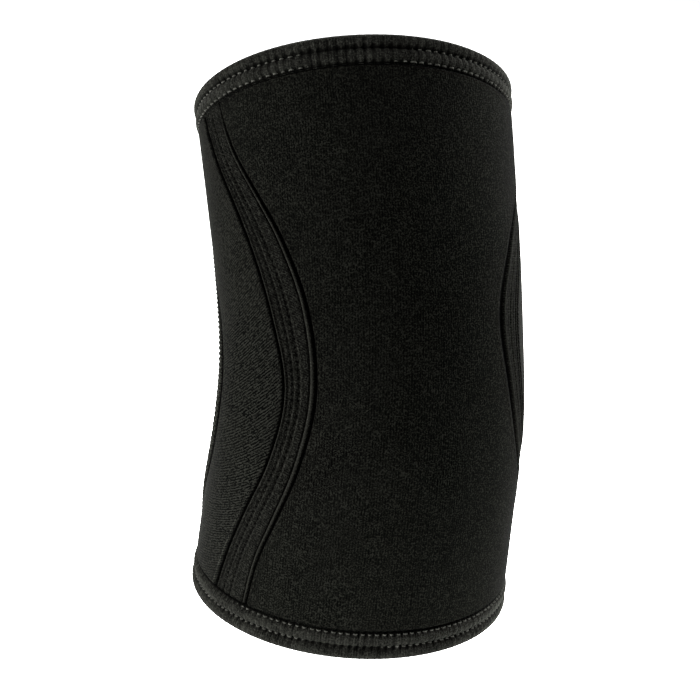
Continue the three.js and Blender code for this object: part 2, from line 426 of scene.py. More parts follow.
def cord_drop(cord_side, along, cord_start):
    """The cord and its groove, and the plain rolled edge where the cord has run out."""
    beads = CORD_BEADS * np.cos(2 * np.pi * along / STRIP_STITCH)
    radius = CORD_RADIUS + CORD_RADIUS_SLACK * slack_at(along)
    middle = cord_start + radius
    cord = np.sqrt(np.clip(1 - ((cord_side - middle) / radius) ** 2, 0, 1)) * (CORD_RISE + beads)
    groove = GROOVE_DEPTH - GROOVE_DEPTH_SLACK * bump_line(along - ELBOW_ALONG, GROOVE_SLACK_SPREAD)
    past_groove = np.maximum(cord_side - middle - radius - GROOVE_INSET, 0)
    beside_cord = STRIP_DROP + groove * bump_line(past_groove, GROOVE_WIDTH)
    corded = np.where(cord_side < middle + radius, CORD_BASE - cord, beside_cord)
    plain = STRIP_DROP + rolled(cord_side, CORDLESS_EDGE, CORDLESS_EDGE_DEPTH)
    share = np.clip((CORD_END - along) / CORD_FADE, 0, 1)
    return share * corded + (1 - share) * plain


def strip_drop(cord_side, welt_side, along, cord_start):
    """A cord along the front seam, two stitched channels, and a low welt along the side seam."""
    width = cord_side + welt_side
    beside_rows = [welt_side - row * width for row in STRIP_ROWS]
    dots = 1 - CHANNEL_DOTS + CHANNEL_DOTS * np.cos(2 * np.pi * along / STRIP_STITCH)
    channels = CHANNEL_DEPTH * dots * sum(bump_line(beside, CHANNEL_WIDTH) for beside in beside_rows)
    ridges = RIDGE_RISE * sum(bump_line(beside - RIDGE_INSET, CHANNEL_WIDTH) for beside in beside_rows)
    past_edge = welt_side - welt_width(along)
    groove = WELT_GROOVE * bump_line(past_edge - WELT_GROOVE_INSET, WELT_GROOVE_WIDTH)
    crest = WELT_CREST + WELT_CREST_WAIST * waist_at(along)
    lip = groove - crest * bump_line(past_edge - WELT_CREST_INSET, WELT_CREST_WIDTH)
    welt = rolled(welt_side, welt_width(along), WELT_DEPTH) + lip
    return cord_drop(cord_side, along, cord_start) + channels - ridges + welt


def side_drop(strip_side, crook_side, along):
    """Rolled edges along both seams, with a crest beside the strip."""
    past_edge = strip_side - welt_width(along)
    crest = SIDE_CREST + SIDE_CREST_BELOW * np.clip((WAIST_ALONG - along) / WAIST_SPREAD, 0, 1)
    crest_line = crest * bump_line(past_edge - SIDE_CREST_INSET, SIDE_CREST_WIDTH)
    strip_edge = rolled(strip_side, welt_width(along), SIDE_DEPTH) - crest_line
    return strip_edge + rolled(crook_side, SIDE_CROOK_EDGE, SIDE_CROOK_DEPTH)


def crook_drop(left, right, along):
    """A ditch along each seam, then the low band that its cover stitches draw up."""
    edge = np.minimum(left, right)
    knots = 1 + CROOK_KNOTS * np.cos(2 * np.pi * along / CROOK_STITCH)
    near = np.clip((edge - CROOK_DITCH) / CROOK_BAND_NEAR_SLOPE, 0, 1)
    far = np.clip((CROOK_BAND - edge) / CROOK_BAND_FAR_SLOPE, 0, 1)
    return rolled(edge, CROOK_DITCH, CROOK_DITCH_DEPTH) - CROOK_BAND_RISE * knots * (near * far)


def hem_distance(along):
    """Distance from the nearer hem's edge, negative inside the hem."""
    return np.minimum(along, SLEEVE_LENGTH - along) - HEM_BAND - GAP


def hem_end_drop(along):
    """Drop of a panel where it rolls under the hem's edge, and the thin tongue inside the hem."""
    clear = hem_distance(along)
    return np.where(clear < 0, TONGUE_DROP, rolled(clear, HEM_END_EDGE, HEM_END_DEPTH))


def row_places(step):
    """Rows of a panel along the sleeve: the tongues, fine rows on the rolled ends and even rows between."""
    root = HEM_BAND + GAP
    fine = root + SHOULDER * np.linspace(0, 1, SHOULDER_ROWS) ** SHOULDER_CROWDING
    just_inside = root - 0.01
    lower = np.concatenate([[HEM_FOLD + GAP, just_inside], fine])
    count = int(round((SLEEVE_LENGTH - 2 * (root + SHOULDER)) / step))
    between = np.linspace(root + SHOULDER, SLEEVE_LENGTH - root - SHOULDER, count + 1)[1:-1]
    return np.concatenate([lower, between, SLEEVE_LENGTH - lower[::-1]])


def column_shares(width, step):
    """Columns of a panel as shares of its width, close together near both seams."""
    close = np.array(CLOSE_COLUMNS)
    count = max(int(round((width - 2 * close[-1]) / step)), 2)
    between = np.linspace(close[-1], width - close[-1], count + 1)[1:-1]
    return np.concatenate([close, between, width - close[::-1]]) / width


def mesh_piece(name, points, faces, places, materials, face_material=None):
    """A new smooth mesh with its cloth places and materials."""
    mesh = bpy.data.meshes.new(name)
    mesh.from_pydata(points.reshape(-1, 3).tolist(), [], faces)
    mesh.attributes.new("cloth_place", "FLOAT_VECTOR", "POINT").data.foreach_set(
        "vector", np.ascontiguousarray(places, np.float32).ravel()
    )
    for material in materials:
        mesh.materials.append(material)
    if face_material is not None:
        mesh.polygons.foreach_set("material_index", np.asarray(face_material, np.int32))
    mesh.polygons.foreach_set("use_smooth", np.ones(len(mesh.polygons), bool))
    mesh.update()
    piece = bpy.data.objects.new(name, mesh)
    bpy.context.collection.objects.link(piece)
    return piece


def quads(a, b, c, d):
    """Faces from grids of their four corners' numbers."""
    return np.stack([a, b, c, d], axis=-1).reshape(-1, 4)


def panel_drop(drop, from_start, to_end, along):
    """Drop of a panel's outside: its own cross section, its ends at the hems and its rounded corners."""
    across = drop(from_start, to_end, along)
    at_hem = hem_end_drop(along)
    sunk = np.hypot(np.maximum(across, 0), at_hem) + np.minimum(across, 0)
    edge = np.minimum(from_start, to_end)
    corner = np.hypot(np.maximum(CORNER - edge, 0), np.maximum(CORNER - hem_distance(along), 0))
    corner_drop = rolled(np.maximum(CORNER - corner, 0), CORNER_EDGE, CORNER_DEPTH)
    sunk = np.where(corner_drop > 0, np.maximum(sunk, corner_drop), sunk)
    return np.where(at_hem >= TONGUE_DROP, TONGUE_DROP, sunk)


def panel_piece(name, seams, drop, materials, steps, slanted):
    """A panel between two seams: an outer and an inner skin on one grid, joined round the rim."""
    row_step, column_step = steps
    along = row_places(row_step)[:, None]
    radius = half_width_at(along) * MEAN_RADIUS_RATIO
    start = np.radians(seam_degrees_at[seams[0]](along)) + GAP / 2 / radius
    end = np.radians(seam_degrees_at[seams[1]](along)) - GAP / 2 / radius
    end = np.where(end < start, end + 2 * np.pi, end)
    width = (end - start) * radius
    share = column_shares(float(width.mean()), column_step)[None, :]
    angle = start + (end - start) * share
    from_start, to_end = width * share, width * (1 - share)
    sunk = panel_drop(drop, from_start, to_end, along)
    lining_roll = rolled(np.minimum(from_start, to_end), LINING_EDGE, LINING_DEPTH)
    lifted = np.where(hem_end_drop(along) >= TONGUE_DROP, TONGUE_DROP, lining_roll)
    outer = wall_points(along, angle, -sunk)
    # The lining laps behind the seams, so that no light comes through them
    spread = (GAP / 2 + LINING_LAP) / radius
    lining_angle = start - spread + (end - start + 2 * spread) * share
    inner = wall_points(along, lining_angle, lifted - WALL)
    rows, columns = outer.shape[:2]
    out = np.arange(rows * columns).reshape(rows, columns)
    inn = out + rows * columns
    skin = quads(out[:-1, :-1], out[:-1, 1:], out[1:, 1:], out[1:, :-1])
    lining = quads(inn[:-1, :-1], inn[1:, :-1], inn[1:, 1:], inn[:-1, 1:])
    rim = np.concatenate([
        quads(inn[:-1, 0], out[:-1, 0], out[1:, 0], inn[1:, 0]),
        quads(out[:-1, -1], inn[:-1, -1], inn[1:, -1], out[1:, -1]),
        quads(inn[0, :-1], inn[0, 1:], out[0, 1:], out[0, :-1]),
        quads(out[-1, :-1], out[-1, 1:], inn[-1, 1:], inn[-1, :-1]),
    ])
    faces = np.concatenate([skin, rim, lining]).tolist()
    face_material = [0] * (len(skin) + len(rim)) + [1] * len(lining)
    # Relief above the panel's median level, painted by the materials as highlight on crests and shade in
    # grooves and seams
    outer_places = cloth_places(along, angle, np.median(sunk) - sunk, slanted)
    inner_places = cloth_places(along, lining_angle, -lifted, slanted)
    points = np.concatenate([outer.reshape(-1, 3), inner.reshape(-1, 3)])
    places = np.concatenate([outer_places.reshape(-1, 3), inner_places.reshape(-1, 3)])
    piece = mesh_piece(name, points, faces, places, materials, face_material)
    middle = wall_points(along, angle, -WALL / 2)
    return piece, cut_size(middle)


def cut_size(grid):
    """Width, length and area of the flat cut that a grid of points was sewn from, in metres."""
    across = np.linalg.norm(np.diff(grid, axis=1), axis=2)
    lengthwise = np.linalg.norm(np.diff(grid, axis=0), axis=2)
    area = float((across[:-1] * lengthwise[:, :-1]).sum())
    return float(across.sum(axis=1).max()), float(lengthwise.sum(axis=0).max()), area


def row_press(inset):
    """How much the stitches press the hem down at a distance from its fold."""
    return sum(bump_line(inset - row, HEM_ROW_WIDTH) for row in HEM_ROWS)


def pucker(inset, stitch, amounts):
    """Ridges between the needle holes of a hem, strongest along its stitch rows."""
    ridge = np.abs(np.sin(np.pi * stitch)) ** PUCKER_SHARPNESS
    near_rows = sum(bump_line(inset - row, PUCKER_ROW_WIDTH) for row in HEM_ROWS)
    strength = PUCKER_RISE + PUCKER_RISE_AT_ROWS * near_rows
    strength = strength * np.clip(PUCKER_AT_FOLD + inset / PUCKER_FOLD_REACH, 0, 1)
    return strength * amounts * (ridge - PUCKER_LEVEL)


def hem_rise(inset, stitch, amounts):
    """Rise of the hem's outside: two rolls, the pressed stitch rows and the puckers."""
    return hem_roll_at(inset) - HEM_ROW_DEPTH * row_press(inset) + pucker(inset, stitch, amounts)


def hem_inside_rise(inset, stitch, amounts):
    """Rise of the hem's inside: fainter puckers on a low bulge."""
    bulge = HEM_INSIDE_BULGE * math.sin(math.pi * inset / HEM_BAND)
    return -WALL - HEM_INSIDE_PUCKER * pucker(inset, stitch, amounts) - bulge


def hem_gathers(hem, stitch):
    """How strongly a hem is gathered, by the stitch."""
    rng = np.random.default_rng(hem["seed"])
    middles = np.arange(hem["stitches"]) + 0.5
    degrees = np.degrees(2 * np.pi * middles / hem["stitches"])
    from_front = (degrees - GATHER_FRONT + 180) % 360 - 180
    uneven = GATHER_LEAST + GATHER_UNEVEN * rng.random(hem["stitches"])
    around = GATHER_EVERYWHERE + GATHER_AT_FRONT * bump_line(from_front, GATHER_SPREAD)
    return np.interp(stitch, middles, hem["gather"] * uneven * around, period=hem["stitches"])


def hem_section(hem, stitch, amounts):
    """The hem's U section: up the outside, round the panels' slot, down the inside and over the fold."""
    rounding = np.linspace(0, 1, HEM_ROUNDING_ROWS)[:-1] ** HEM_ROUNDING_CROWDING * HEM_ROUNDING
    outside = np.concatenate([rounding, np.linspace(HEM_ROUNDING, HEM_BAND, HEM_OUTSIDE_ROWS)])
    section = [(inset, hem_rise(inset, stitch, amounts)) for inset in outside]
    section += [(HEM_BAND, -HEM_LEG), (HEM_FOLD, -HEM_LEG)]
    section += [(HEM_FOLD, HEM_LEG - WALL), (HEM_BAND, HEM_LEG - WALL)]
    inside = np.linspace(HEM_BAND - HEM_INSIDE_TOP, HEM_INSIDE_BOTTOM, HEM_INSIDE_ROWS)
    section += [(inset, hem_inside_rise(inset, stitch, amounts)) for inset in inside]
    fold_start = HEM_FOLD_RISE - WALL
    fold_height = hem_roll_at(0.0) - fold_start
    for share in HEM_FOLD_SHARES:
        section.append((-hem["crown"] * math.sin(math.pi * share), fold_start + share * fold_height))
    insets = np.array([np.full(len(stitch), inset) for inset, rise in section])
    rises = np.array([np.broadcast_to(rise, len(stitch)) for inset, rise in section])
    return insets, rises


def hem_painted_relief(hem, insets, rises):
    """Relief that a hem's painted shade and highlight follow."""
    gathers = rises - np.median(rises, axis=1, keepdims=True)
    inner_edge_shade = np.clip((insets - INNER_ROW - HEM_INNER_EDGE) / HEM_INNER_EDGE_WIDTH, 0, 1)
    ditch = np.minimum(hem_roll_at(np.clip(insets, *HEM_ROLL_CRESTS)) - HEM_ROLL_RISE, 0)
    pressed = hem["ditch_shade"] * ditch - HEM_ROW_SHADING * HEM_ROW_DEPTH * row_press(insets)
    return HEM_GATHER_SHADING * gathers + pressed - inner_edge_shade


def hem_piece(hem, materials):
    """A hem: its section, gathered by the stitches and carried once round the sleeve."""
    columns = hem["stitches"] * HEM_STEPS_PER_STITCH
    stitch = np.arange(columns) / HEM_STEPS_PER_STITCH
    angle = 2 * np.pi * stitch / hem["stitches"]
    insets, rises = hem_section(hem, stitch, hem_gathers(hem, stitch))
    along = SLEEVE_LENGTH - insets if hem["is_upper"] else insets
    points = wall_points(along, angle[None, :], rises)
    at = np.arange(points.shape[0] * columns).reshape(points.shape[0], columns)
    up = np.roll(at, -1, axis=0)
    right = np.roll(at, -1, axis=1)
    across = np.roll(up, -1, axis=1)
    faces = quads(at, up, across, right) if hem["is_upper"] else quads(at, right, across, up)
    # Relief that the hem's painted shade and highlight follow
    relief = hem_painted_relief(hem, insets, rises)
    places = np.stack(np.broadcast_arrays(angle[None, :] * HEM_RADIUS, insets, relief), axis=-1)
    piece = mesh_piece(f"{hem['node']}_cloth", points, faces.tolist(), places, materials)
    ring = points[HEM_GIRTH_ROW]
    girth = float(np.linalg.norm(np.diff(ring, axis=0, append=ring[:1]), axis=1).sum())
    return piece, (girth, (2 * HEM_BAND + WALL) * MM)


def thread_stitches(name, starts, ends, outs, crest, radius, material):
    """Stitches as short arched threads that dip into their needle holes, all in one mesh."""
    t = np.linspace(-1, 1, THREAD_RINGS)
    turn = 2 * np.pi * np.arange(THREAD_SIDES) / THREAD_SIDES
    middle = (starts + ends) / 2
    half = (ends - starts) / 2
    side = np.cross(half, outs)
    side /= np.linalg.norm(side, axis=1, keepdims=True)
    dip = THREAD_DIP * radius * np.abs(t) ** THREAD_DIP_SHARPNESS
    arch = crest * (1 - np.abs(t) ** THREAD_ARCH_FLATNESS) - dip
    line = middle[:, None] + half[:, None] * t[None, :, None] + outs[:, None] * (arch * MM)[None, :, None]
    thick = radius * MM * (1 - THREAD_THINNING * t**4)
    ring = np.cos(turn)[:, None] * side[:, None, None] + np.sin(turn)[:, None] * outs[:, None, None]
    tube = line[:, :, None] + ring * thick[None, :, None, None]
    count = len(starts)
    points = np.concatenate([tube.reshape(count, -1, 3), line[:, [0, -1]]], axis=1)
    each = THREAD_RINGS * THREAD_SIDES + 2
    at = np.arange(THREAD_RINGS * THREAD_SIDES).reshape(THREAD_RINGS, THREAD_SIDES)
    beside = np.roll(at, -1, axis=1)
    wall = quads(at[:-1], at[1:], beside[1:], beside[:-1]).tolist()
    caps = [[each - 2, a, b] for a, b in zip(at[0], beside[0])]
    caps += [[each - 1, b, a] for a, b in zip(at[-1], beside[-1])]
    faces = [[int(v) + k * each for v in face] for k in range(count) for face in wall + caps]
    places = np.zeros((count, each, 3))
    places[:, :-2, 0] = np.tile(np.repeat(t, THREAD_SIDES), (count, 1))
    return mesh_piece(name, points, faces, places, [material])


def out_direction(along, angle):
    """Outward direction of the wall."""
    return (wall_points(along, angle, 1.0) - wall_points(along, angle, 0.0)) / MM


def drawn_in_depth(hem, row, angle):
    """How deep a hem's stitches are drawn into the cloth."""
    degrees = np.degrees(np.arctan2(np.sin(angle), np.cos(angle)))
    depth = np.zeros(len(degrees))
    for values in DRAWN_IN_TABLE:
        part = dict(zip(DRAWN_IN_COLUMNS, values))
        if part["node"] == hem["node"] and part["row"] == row:
            past_end = np.minimum(degrees - part["start"], part["end"] - degrees)
            depth += DRAWN_IN * np.clip(past_end / DRAWN_IN_TAPER, 0, 1)
    return depth


def hem_thread(hem, material):
    """Both stitch rows of a hem, outside and inside, each stitch a little uneven."""
    rng = np.random.default_rng(hem["seed"] + 1)
    stitches = hem["stitches"]
    holes = np.arange(stitches)
    pitch = 2 * np.pi / stitches
    starts, ends, outs = [], [], []
    for row in HEM_ROWS:
        first = pitch * (holes + HEM_STITCH_START + HEM_STITCH_UNEVEN * rng.random(stitches))
        last = pitch * (holes + HEM_STITCH_END + HEM_STITCH_UNEVEN * rng.random(stitches))
        along = SLEEVE_LENGTH - row if hem["is_upper"] else row
        lift = hem_roll_at(row) - HEM_ROW_DEPTH + hem["stitch_rise"] - drawn_in_depth(hem, row, first)
        outwards = out_direction(along, (first + last) / 2)
        for rise, direction in ((lift, outwards), (-WALL - HEM_INSIDE_THREAD_RISE, -outwards)):
            starts.append(wall_points(along, first, rise))
            ends.append(wall_points(along, last, rise))
            outs.append(direction)
    joined = [np.concatenate(parts) for parts in (starts, ends, outs)]
    return thread_stitches(f"{hem['node']}_stitches", *joined, HEM_THREAD_CREST, THREAD_RADIUS, material)


def angle_between(seams, share, along):
    """Angle at a share of the width between two seams."""
    first, last = (np.radians(seam_degrees_at[seam](along)) for seam in seams)
    return first + (last - first) * share


def strip_thread(name, seams, cord_first, material):
    """The two tone-on-tone stitch rows in a seam strip."""
    clear_of_hem = HEM_BAND + STRIP_THREAD_MARGIN
    holes = np.arange(clear_of_hem, SLEEVE_LENGTH - clear_of_hem, STRIP_STITCH)
    first = holes[:-1] + STRIP_STITCH_START
    last = holes[1:] - STRIP_STITCH_END
    middle = (holes[:-1] + holes[1:]) / 2
    starts, ends, outs = [], [], []
    for row in STRIP_ROWS:
        share = 1 - row if cord_first else row
        starts.append(wall_points(first, angle_between(seams, share, first), STRIP_THREAD_RISE))
        ends.append(wall_points(last, angle_between(seams, share, last), STRIP_THREAD_RISE))
        outs.append(out_direction(middle, angle_between(seams, share, middle)))
    joined = [np.concatenate(parts) for parts in (starts, ends, outs)]
    return thread_stitches(name, *joined, STRIP_THREAD_CREST, STRIP_THREAD_RADIUS, material)


def crook_thread(name, seam, inwards, material):
    """Cover stitches across the band beside a crook seam."""
    clear_of_hem = HEM_BAND + CROOK_THREAD_MARGIN
    holes = np.arange(clear_of_hem, SLEEVE_LENGTH - clear_of_hem, CROOK_STITCH)
    radius = half_width_at(holes) * MEAN_RADIUS_RATIO
    seam_angle = np.radians(seam_degrees_at[seam](holes))
    near = seam_angle + inwards * CROOK_THREAD_START / radius
    far = seam_angle + inwards * (CROOK_BAND - CROOK_THREAD_END) / radius
    lean = CROOK_THREAD_LEAN * CROOK_STITCH
    starts = wall_points(holes - lean, near, CROOK_THREAD_RISE)
    ends = wall_points(holes + lean, far, CROOK_THREAD_RISE)
    outs = out_direction(holes, (near + far) / 2)
    return thread_stitches(name, starts, ends, outs, CROOK_THREAD_CREST, THREAD_RADIUS, material)


# Shader building

NOISE_ROUGHNESS = 0.6
FIBRE_SHARE = 0.9
CLUMP_SHARE = 0.1
LOOP_BEND = 0.35
ROW_HEIGHT = 0.06
CLOTH_SPECULAR = 0.005
CLOTH_HOLLOW_SHADE = 0.85
OLIVE_GREY = (0.95, 0.97, 0.85)


def add_node(tree, kind, **settings):
    """A new node with its settings."""
    node = tree.nodes.new(kind)
    for name, value in settings.items():
        setattr(node, name, value)
    return node


def math_node(tree, operation, *values):
    """A Math node with its inputs linked or set."""
    node = add_node(tree, "ShaderNodeMath", operation=operation)
    for socket, value in zip(node.inputs, values):
        if isinstance(value, bpy.types.NodeSocket):
            tree.links.new(value, socket)
        else:
            socket.default_value = value
    return node.outputs[0]


def new_group(name, inputs, outputs):
    """An empty shader node group with float sockets; inputs come with their values."""
    tree = bpy.data.node_groups.new(name, "ShaderNodeTree")
    for socket, value in inputs.items():
        made = tree.interface.new_socket(socket, in_out="INPUT", socket_type="NodeSocketFloat")
        made.default_value = value
    for socket in outputs:
        tree.interface.new_socket(socket, in_out="OUTPUT", socket_type="NodeSocketFloat")
    return tree, add_node(tree, "NodeGroupInput").outputs, add_node(tree, "NodeGroupOutput").inputs


def noise(tree, vector, scale, detail):
    """Noise from 0 to 1 over a place, with its scale linked or set."""
    node = add_node(tree, "ShaderNodeTexNoise", noise_dimensions="3D")
    node.inputs["Detail"].default_value = detail
    node.inputs["Roughness"].default_value = NOISE_ROUGHNESS
    tree.links.new(vector, node.inputs["Vector"])
    if isinstance(scale, bpy.types.NodeSocket):
        tree.links.new(scale, node.inputs["Scale"])
    else:
        node.inputs["Scale"].default_value = scale
    return node.outputs["Fac"]


def contrast(tree, value, low, high):
    """A smooth step of the value from 0 at low to 1 at high."""
    node = add_node(tree, "ShaderNodeMapRange", interpolation_type="SMOOTHSTEP")
    node.inputs["From Min"].default_value = low
    if isinstance(high, bpy.types.NodeSocket):
        tree.links.new(high, node.inputs["From Max"])
    else:
        node.inputs["From Max"].default_value = high
    tree.links.new(value, node.inputs["Value"])
    return node.outputs["Result"]


def brushed_place(tree):
    """Places in the cloth drawn out along the way its nap is brushed."""
    turn = add_node(tree, "ShaderNodeVectorRotate", rotation_type="Z_AXIS")
    tree.links.new(add_node(tree, "ShaderNodeTexCoord").outputs["Object"], turn.inputs["Vector"])
    turn.inputs["Angle"].default_value = BRUSHED_TURN
    drawn = add_node(tree, "ShaderNodeVectorMath", operation="MULTIPLY")
    tree.links.new(turn.outputs["Vector"], drawn.inputs[0])
    drawn.inputs[1].default_value = (1, BRUSHED_DRAW, 1)
    return drawn.outputs["Vector"]


def fleece_speckle_group():
    """Brushed nap: fine bright fibre ends over dark ground. Grain and Clump are sizes in millimetres."""
    tree, given, result = new_group("fleece_speckle", {"Grain": 0.6, "Clump": 2.5}, ["Shade", "Height"])
    place = brushed_place(tree)
    fine = noise(tree, place, math_node(tree, "DIVIDE", 1 / MM, given["Grain"]), detail=1.0)
    clump = noise(tree, place, math_node(tree, "DIVIDE", 1 / MM, given["Clump"]), detail=1.0)
    fibres = math_node(tree, "MULTIPLY", fine, FIBRE_SHARE)
    clumps = math_node(tree, "MULTIPLY", clump, CLUMP_SHARE)
    mixed = math_node(tree, "ADD", fibres, clumps)
    tree.links.new(contrast(tree, mixed, low=0.48, high=0.64), result["Shade"])
    tree.links.new(mixed, result["Height"])
    return tree


def knit_courses_group():
    """Rows and upright ribs of knitted loops. Course and Wale are a loop's height and width in mm."""
    inputs = {"Course": 0.65, "Wale": 0.55, "Slant": 0.12, "Unevenness": 0.35, "Upright": 0.0}
    tree, given, result = new_group("knit_courses", inputs, ["Shade", "Height"])
    place = add_node(tree, "ShaderNodeAttribute", attribute_name="cloth_place").outputs["Vector"]
    split = add_node(tree, "ShaderNodeSeparateXYZ")
    tree.links.new(place, split.inputs[0])
    loops = math_node(tree, "FRACT", math_node(tree, "DIVIDE", split.outputs["X"], given["Wale"]))
    legs = math_node(tree, "ABSOLUTE", math_node(tree, "SUBTRACT", loops, 0.5))
    rows = math_node(tree, "DIVIDE", split.outputs["Y"], given["Course"])
    slanted = math_node(tree, "MULTIPLY_ADD", split.outputs["X"], given["Slant"], rows)
    wander = math_node(tree, "MULTIPLY", noise(tree, place, scale=0.9, detail=2.0), given["Unevenness"])
    bent = math_node(tree, "ADD", slanted, math_node(tree, "MULTIPLY", legs, LOOP_BEND))
    phase = math_node(tree, "ADD", bent, wander)
    wave = math_node(tree, "SINE", math_node(tree, "MULTIPLY", phase, 2 * math.pi))
    course = math_node(tree, "MULTIPLY_ADD", wave, 0.5, 0.5)
    rib = math_node(tree, "MULTIPLY", legs, 2.0)
    blend = add_node(tree, "ShaderNodeMix", data_type="FLOAT")
    tree.links.new(given["Upright"], blend.inputs["Factor"])
    tree.links.new(course, blend.inputs["A"])
    tree.links.new(rib, blend.inputs["B"])
    height = blend.outputs["Result"]
    tree.links.new(contrast(tree, height, low=0.2, high=0.8), result["Shade"])
    tree.links.new(height, result["Height"])
    return tree


def knit_flecks_group():
    """Rows of knit whose loops catch the light in uneven flecks. All inputs are sizes in millimetres."""
    inputs = {"Course": 0.8, "Grain": 0.42, "Length": 1.4, "Row": 0.36}
    tree, given, result = new_group("knit_flecks", inputs, ["Shade", "Height"])
    place = add_node(tree, "ShaderNodeAttribute", attribute_name="cloth_place").outputs["Vector"]
    split = add_node(tree, "ShaderNodeSeparateXYZ")
    tree.links.new(place, split.inputs[0])
    fleck = add_node(tree, "ShaderNodeCombineXYZ")
    tree.links.new(math_node(tree, "DIVIDE", split.outputs["X"], given["Length"]), fleck.inputs["X"])
    tree.links.new(math_node(tree, "DIVIDE", split.outputs["Y"], given["Row"]), fleck.inputs["Y"])
    runs = noise(tree, fleck.outputs[0], scale=1.0, detail=1.0)
    fineness = math_node(tree, "DIVIDE", 1 / MM, given["Grain"])
    loops = noise(tree, brushed_place(tree), fineness, detail=1.0)
    turns = math_node(tree, "DIVIDE", split.outputs["Y"], given["Course"])
    rows = math_node(tree, "SINE", math_node(tree, "MULTIPLY", turns, 2 * math.pi))
    flecks = math_node(tree, "MULTIPLY", math_node(tree, "ADD", runs, loops), 0.5)
    height = math_node(tree, "MULTIPLY_ADD", rows, ROW_HEIGHT, flecks)
    tree.links.new(contrast(tree, height, low=0.45, high=0.60), result["Shade"])
    tree.links.new(height, result["Height"])
    return tree


def nap_patches_group():
    """Slow change of tone where the nap lies one way or another. Patch is a size in millimetres."""
    tree, given, result = new_group("nap_patches", {"Patch": 14.0}, ["Shade"])
    place = add_node(tree, "ShaderNodeTexCoord").outputs["Object"]
    slow = noise(tree, place, math_node(tree, "DIVIDE", 1 / MM, given["Patch"]), detail=2.0)
    tree.links.new(contrast(tree, slow, low=0.25, high=0.75), result["Shade"])
    return tree


def painted_relief_shading_group():
    """Painted highlight on raised cloth and painted shade in sunk cloth, fully so at Depth; Crest and Hollow
    are how much.
    """
    inputs = {"Crest": 1.0, "Hollow": 0.8, "Depth": 0.45}
    tree, given, result = new_group("painted_relief_shading", inputs, ["Tone", "Raised"])
    place = add_node(tree, "ShaderNodeAttribute", attribute_name="cloth_place").outputs["Vector"]
    split = add_node(tree, "ShaderNodeSeparateXYZ")
    tree.links.new(place, split.inputs[0])
    # Painted highlight where the cloth stands above its level, painted shade where it is sunk
    crest = contrast(tree, split.outputs["Z"], low=0.05, high=0.35)
    sunk = math_node(tree, "MULTIPLY", split.outputs["Z"], -1.0)
    hollow = contrast(tree, sunk, low=0.02, high=given["Depth"])
    paler = math_node(tree, "MULTIPLY_ADD", crest, given["Crest"], 1.0)
    darker = math_node(tree, "MULTIPLY", hollow, given["Hollow"])
    tree.links.new(math_node(tree, "SUBTRACT", paler, darker), result["Tone"])
    tree.links.new(crest, result["Raised"])
    return tree


FLEECE_SPECKLE = fleece_speckle_group()
KNIT_COURSES = knit_courses_group()
KNIT_FLECKS = knit_flecks_group()
NAP_PATCHES = nap_patches_group()
PAINTED_RELIEF_SHADING = painted_relief_shading_group()


def place_group(tree, group, **values):
    """A group placed in a tree with its own values; gives its outputs."""
    node = add_node(tree, "ShaderNodeGroup", node_tree=group)
    for name, value in values.items():
        node.inputs[name].default_value = value
    return node.outputs


def blend_values(tree, a, b, share):
    """A value that is a at share 0 and b at share 1."""
    node = add_node(tree, "ShaderNodeMix", data_type="FLOAT")
    node.inputs["Factor"].default_value = share
    tree.links.new(a, node.inputs["A"])
    tree.links.new(b, node.inputs["B"])
    return node.outputs["Result"]


def cloth_material(tree, shade, height, colours, crest, relief, roughness, sheen, depth=0.45, raised_highlight=0.0):
    """Finishes a cloth material whose shade and height are already in its tree.

    Colours are those of the darkest and palest shade, roughness too. Sheen is its weight, roughness and
    tint. The colour carries painted highlight on raised cloth, by crest, and painted shade in hollows, full
    at depth. Raised highlight is a painted highlight: the least shade of raised cloth.
    """
    shader = add_node(tree, "ShaderNodeBsdfPrincipled")
    ramp = add_node(tree, "ShaderNodeMix", data_type="RGBA")
    for end, colour in zip("AB", colours):
        ramp.inputs[end].default_value = (*colour, 1)
    painted_relief_shading = place_group(tree, PAINTED_RELIEF_SHADING, Crest=crest, Hollow=CLOTH_HOLLOW_SHADE, Depth=depth)
    # Raised cloth is evened out to a painted highlight, and the colour is scaled by painted shade and
    # highlight from the relief
    raised = math_node(tree, "MULTIPLY", painted_relief_shading["Raised"], raised_highlight)
    tree.links.new(math_node(tree, "MAXIMUM", shade, raised), ramp.inputs["Factor"])
    toned = add_node(tree, "ShaderNodeVectorMath", operation="SCALE")
    tree.links.new(ramp.outputs["Result"], toned.inputs[0])
    tree.links.new(painted_relief_shading["Tone"], toned.inputs["Scale"])
    tree.links.new(toned.outputs[0], shader.inputs["Base Color"])
    rough = add_node(tree, "ShaderNodeMapRange")
    rough.inputs["To Min"].default_value = roughness[0]
    rough.inputs["To Max"].default_value = roughness[1]
    tree.links.new(shade, rough.inputs["Value"])
    tree.links.new(rough.outputs["Result"], shader.inputs["Roughness"])
    bump = add_node(tree, "ShaderNodeBump")
    bump.inputs["Distance"].default_value = relief * MM
    tree.links.new(height, bump.inputs["Height"])
    tree.links.new(bump.outputs["Normal"], shader.inputs["Normal"])
    shader.inputs["Specular IOR Level"].default_value = CLOTH_SPECULAR
    weight, spread, tint = sheen
    shader.inputs["Sheen Weight"].default_value = weight
    shader.inputs["Sheen Roughness"].default_value = spread
    shader.inputs["Sheen Tint"].default_value = (*tint, 1)
    output = add_node(tree, "ShaderNodeOutputMaterial")
    tree.links.new(shader.outputs["BSDF"], output.inputs["Surface"])


def new_material(name):
    """A material with an empty node tree, and that tree."""
    material = bpy.data.materials.new(name)
    material.use_nodes = True
    material.node_tree.nodes.clear()
    return material, material.node_tree


# Glow of the light table near the sleeve and far from it, and where it changes from one to the other
TABLE_GLOW = (3.2, 0.9)
GLOW_REACH = (0.09, 0.20)
TABLE_GREYS = (0.90, 0.93)


